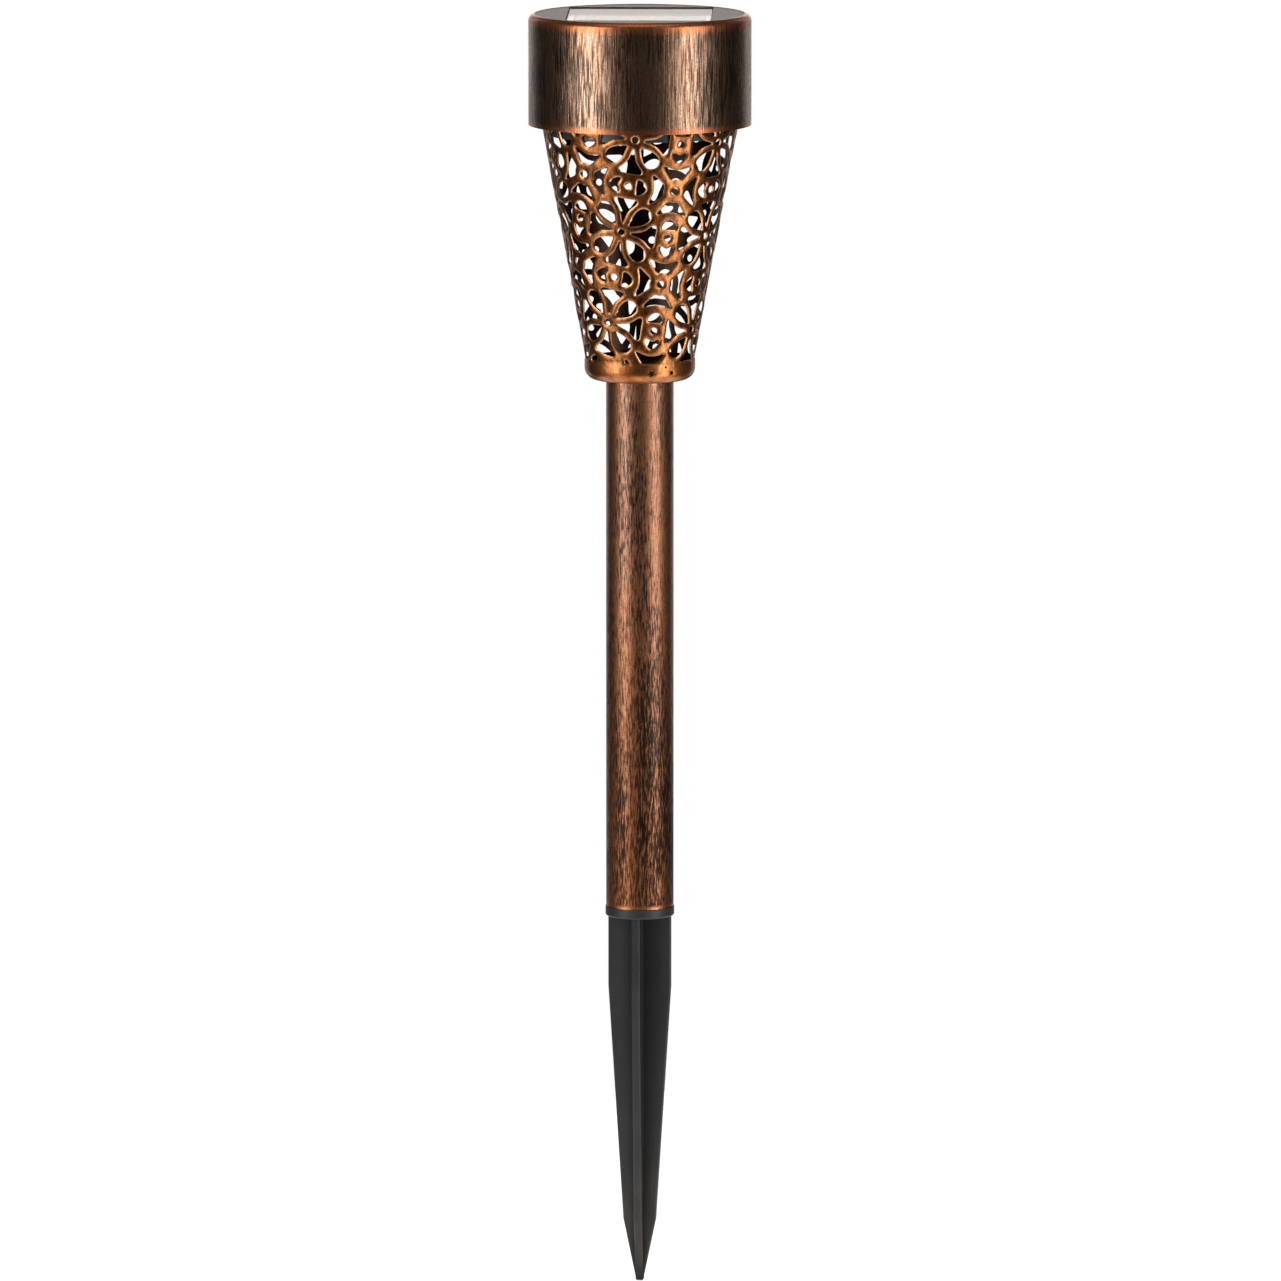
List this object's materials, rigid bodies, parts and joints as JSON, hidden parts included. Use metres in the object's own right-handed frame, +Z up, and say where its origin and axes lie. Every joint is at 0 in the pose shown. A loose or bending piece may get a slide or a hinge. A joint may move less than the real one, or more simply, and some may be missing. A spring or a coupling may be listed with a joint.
{
  "type": "solar garden torch light",
  "caption": "Stake light styled as a torch: solar head on a cut-out metal shade, tube pole and bladed ground spike that pull apart, with a slide switch and a battery door.",
  "frame": {"origin": "on the pole's axis at ground level, the underside of the spike's collar", "axes": "+Z up along the pole, -Y towards the viewer, +X to the viewer's right"},
  "size_m": [0.0624, 0.0624, 0.3601],
  "materials": {
    "cap_copper": "antique copper plate, vertically brushed, lacquered",
    "pole_copper": "antique copper plate, brushed and mottled",
    "shade_copper": "antique copper plate, rubbed gold on the raised strips",
    "spike_plastic": "moulded, satin charcoal",
    "housing_plastic": "moulded, fine texture, black",
    "knob_plastic": "moulded, black",
    "panel_cover": "clear, gloss",
    "solar_silicon": "dark blue silicon with silver lines",
    "circuit_laminate": "green solder resist",
    "adhesive_foam": "white foam tape",
    "seal_rubber": "black",
    "zinc_steel": "zinc plated",
    "nickel_steel": "nickel plated",
    "chip_plastic": "moulded, black",
    "choke_green": "lacquered, green",
    "led_epoxy": "clear, warm",
    "lens_clear": "clear, polished",
    "switch_metal": "tinned",
    "battery_wrap": "shrink sleeve, green",
    "lead_red": "PVC, red",
    "lead_black": "PVC, black"
  },
  "bodies": {
    "spike": {"ground_spike": "spike_plastic"},
    "pole": {"pole_tube": "pole_copper"},
    "shade": {"pole_plug": "housing_plastic", "plug_washer": "zinc_steel", "plug_screw": "zinc_steel", "filigree_shade": "shade_copper"},
    "battery_door": {"battery_door": "housing_plastic"},
    "switch_knob": {"switch_knob": "knob_plastic"},
    "head": {"cap_shell": "cap_copper", "panel_housing": "housing_plastic", "panel_adhesive": "adhesive_foam", "solar_board": "circuit_laminate", "solar_cells": "solar_silicon", "solar_cover": "panel_cover", "lower_housing": "housing_plastic", "housing_seal": "seal_rubber", "housing_screws": "zinc_steel", "circuit_board": "circuit_laminate", "board_screws": "zinc_steel", "driver_chip": "chip_plastic", "choke_coil": "choke_green", "led": "led_epoxy", "led_lens": "lens_clear", "switch_body": "switch_metal", "battery": "battery_wrap", "battery_plate": "nickel_steel", "battery_spring": "nickel_steel", "panel_lead_red": "lead_red", "panel_lead_black": "lead_black", "battery_lead_red": "lead_red", "battery_lead_black": "lead_black"}
  },
  "joints": [
    {"name": "pole_lift", "type": "slide", "parent": "spike", "child": "pole", "axis": [0, 0, 1], "range_m": [0, 0.03]},
    {"name": "shade_lift", "type": "slide", "parent": "pole", "child": "shade", "axis": [0, 0, 1], "range_m": [0, 0.03]},
    {"name": "head_lift", "type": "slide", "parent": "shade", "child": "head", "axis": [0, 0, 1], "range_m": [0, 0.03]},
    {"name": "switch_slide", "type": "slide", "parent": "head", "child": "switch_knob", "axis": [1, 0, 0], "range_m": [0, 0.002]},
    {"name": "battery_door_hinge", "type": "hinge", "parent": "head", "child": "battery_door", "pos_m": [0, 0.0071, 0.2225], "axis": [-1, 0, 0], "range_deg": [0, 90]}
  ]
}
